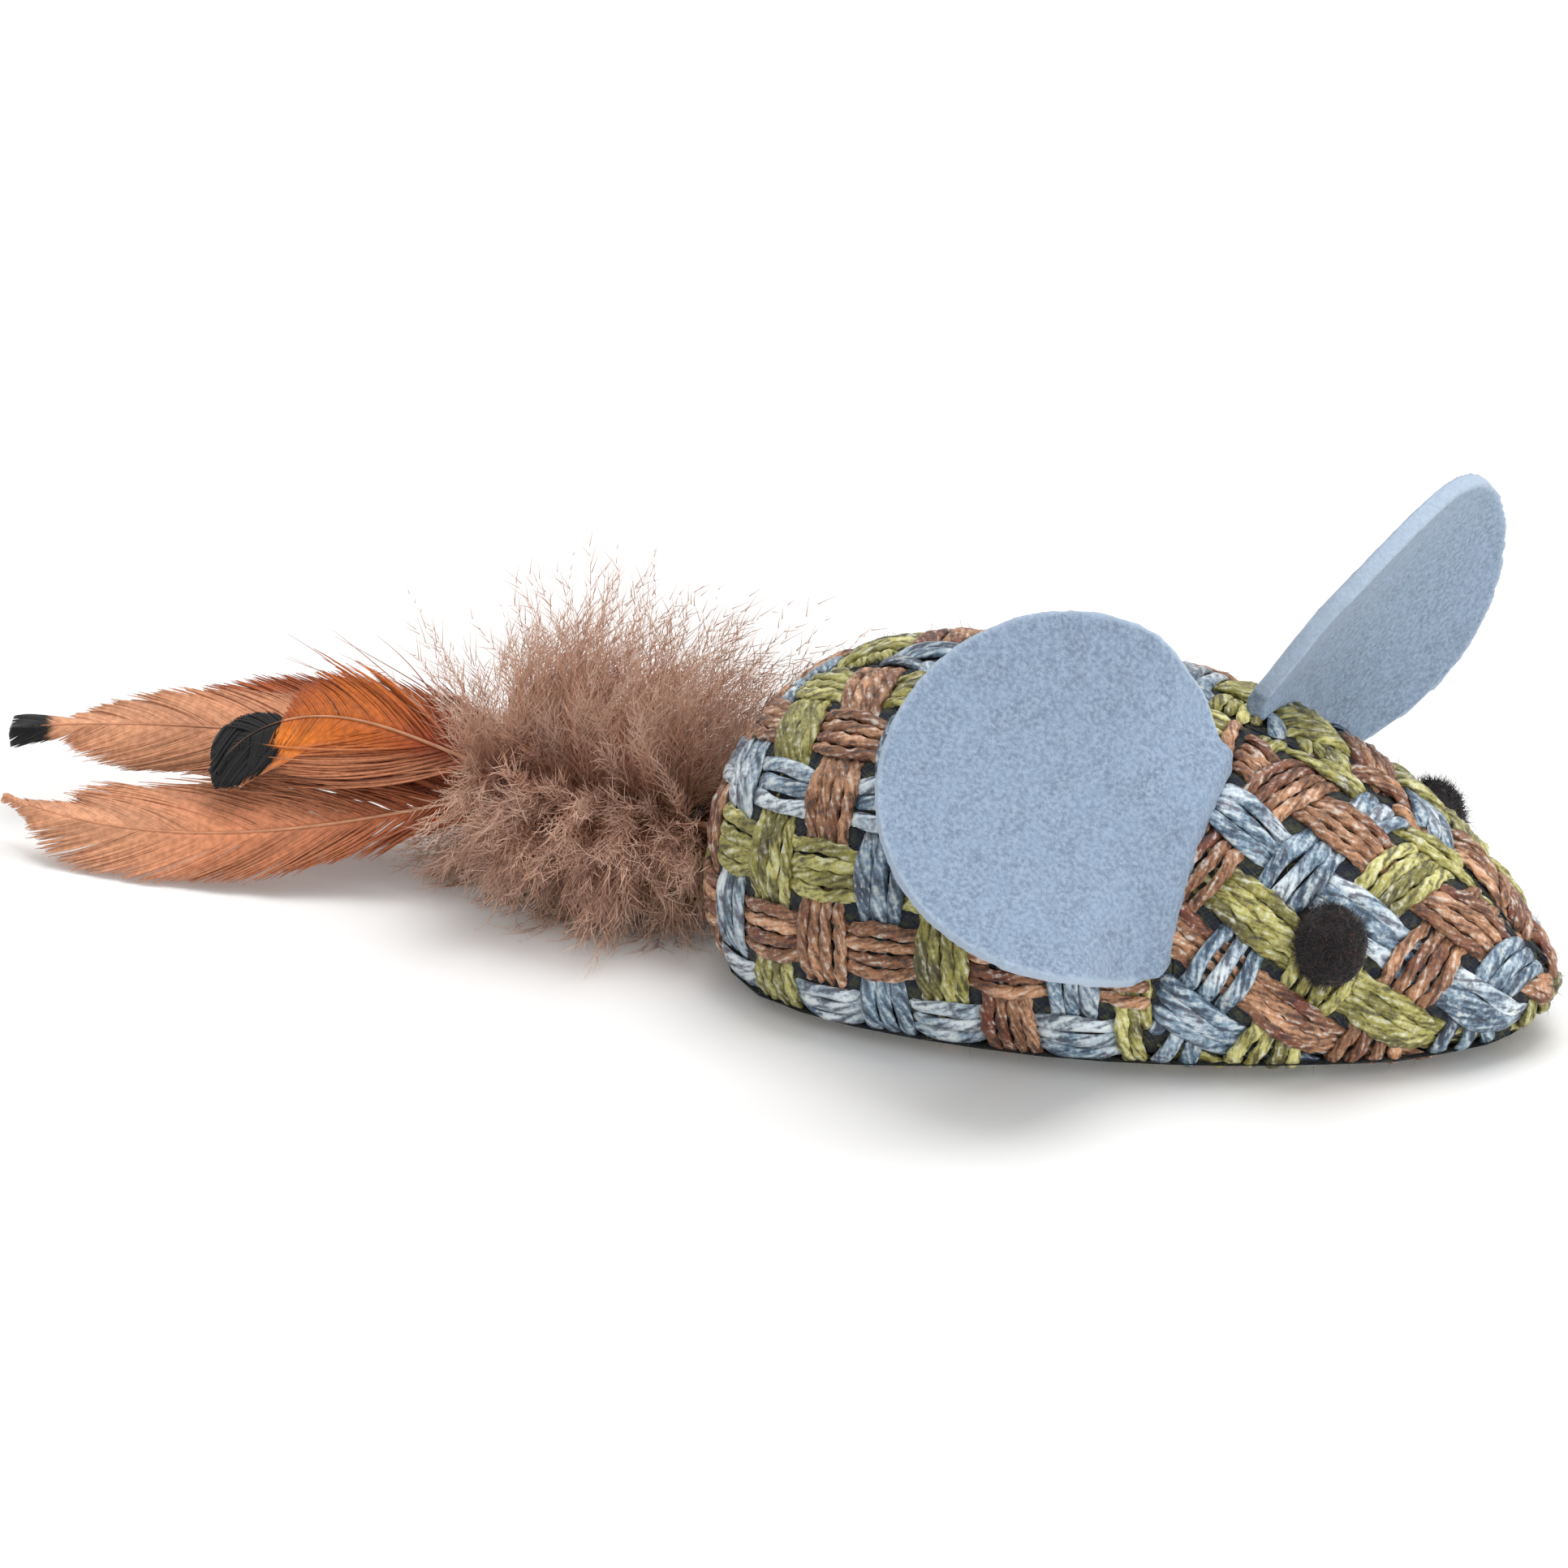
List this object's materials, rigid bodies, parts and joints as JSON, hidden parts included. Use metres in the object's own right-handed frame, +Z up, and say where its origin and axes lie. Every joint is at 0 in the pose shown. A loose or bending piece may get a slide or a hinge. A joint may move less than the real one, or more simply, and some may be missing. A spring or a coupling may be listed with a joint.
{
  "type": "feather mouse toy",
  "caption": "Stuffed mouse cat toy of woven tweed fabric with felt disc ears, wool eyes and a swinging tail of copper feathers with downy bases.",
  "frame": {"origin": "on the flat underside, half way along the stuffed body and on its middle plane", "axes": "+X to the nose, +Y to the mouse's left side, +Z up"},
  "size_m": [0.1439, 0.0635, 0.0425],
  "materials": {
    "woven_fabric": "coarse tweed weave",
    "ear_felt": "pressed felt",
    "black_wool": "felted wool",
    "fibre_stuffing": "loose fibre",
    "muslin": "plain cotton",
    "glue": "set glue",
    "thread": "waxed thread",
    "quill": "keratin",
    "copper_vane": "feather vane",
    "brown_down": "down"
  },
  "bodies": {
    "mouse_body": {"rear_panel_right": "woven_fabric", "rear_panel_left": "woven_fabric", "head_panel_right": "woven_fabric", "head_panel_left": "woven_fabric", "base_panel": "woven_fabric", "stuffing": "fibre_stuffing", "herb_pouch": "muslin", "eye_right": "black_wool", "eye_left": "black_wool"},
    "right_ear": {"ear_right": "ear_felt"},
    "left_ear": {"ear_left": "ear_felt"},
    "tail_root": {"glue_bead": "glue"},
    "tail_binding": {"quill_binding": "thread"},
    "back_feather": {"back_feather_shaft": "quill", "back_feather_vane": "copper_vane", "back_feather_down": "brown_down"},
    "upper_feather": {"upper_feather_shaft": "quill", "upper_feather_vane": "copper_vane", "upper_feather_down": "brown_down"},
    "lower_feather": {"lower_feather_shaft": "quill", "lower_feather_vane": "copper_vane", "lower_feather_down": "brown_down"},
    "heart_feather": {"heart_feather_shaft": "quill", "heart_feather_vane": "copper_vane", "heart_feather_down": "brown_down"}
  },
  "joints": [
    {"name": "right_ear_fold", "type": "hinge", "parent": "mouse_body", "child": "right_ear", "pos_m": [0.0092, -0.01541, 0.02135], "axis": [0, 0.7057, 0.7086], "range_deg": [-8, 125], "stiffness_Nm_per_rad": 0.002},
    {"name": "left_ear_fold", "type": "hinge", "parent": "mouse_body", "child": "left_ear", "pos_m": [0.0092, 0.01318, 0.02333], "axis": [0, 0.8175, -0.576], "range_deg": [-105, 65], "stiffness_Nm_per_rad": 0.002},
    {"name": "tail_swing", "type": "hinge", "parent": "mouse_body", "child": "tail_root", "pos_m": [-0.0362, 0, 0.008], "axis": [0, 0, 1], "range_deg": [-25, 25], "stiffness_Nm_per_rad": 0.008},
    {"name": "tail_lift", "type": "hinge", "parent": "tail_root", "child": "tail_binding", "pos_m": [-0.0362, 0, 0.008], "axis": [0, 1, 0], "range_deg": [-2, 30], "stiffness_Nm_per_rad": 0.012},
    {"name": "back_feather_fan", "type": "hinge", "parent": "tail_binding", "child": "back_feather", "pos_m": [-0.0404, 0, 0.008], "axis": [0, 0.6428, -0.766], "range_deg": [-7, 7], "stiffness_Nm_per_rad": 0.004},
    {"name": "upper_feather_fan", "type": "hinge", "parent": "tail_binding", "child": "upper_feather", "pos_m": [-0.0404, 0, 0.008], "axis": [0, 0.6428, -0.766], "range_deg": [-7, 7], "stiffness_Nm_per_rad": 0.004},
    {"name": "lower_feather_fan", "type": "hinge", "parent": "tail_binding", "child": "lower_feather", "pos_m": [-0.0404, 0, 0.008], "axis": [0, 0.6428, -0.766], "range_deg": [-7, 7], "stiffness_Nm_per_rad": 0.004},
    {"name": "heart_feather_fan", "type": "hinge", "parent": "tail_binding", "child": "heart_feather", "pos_m": [-0.0404, 0, 0.008], "axis": [0, 0.6428, -0.766], "range_deg": [-7, 7], "stiffness_Nm_per_rad": 0.004}
  ]
}
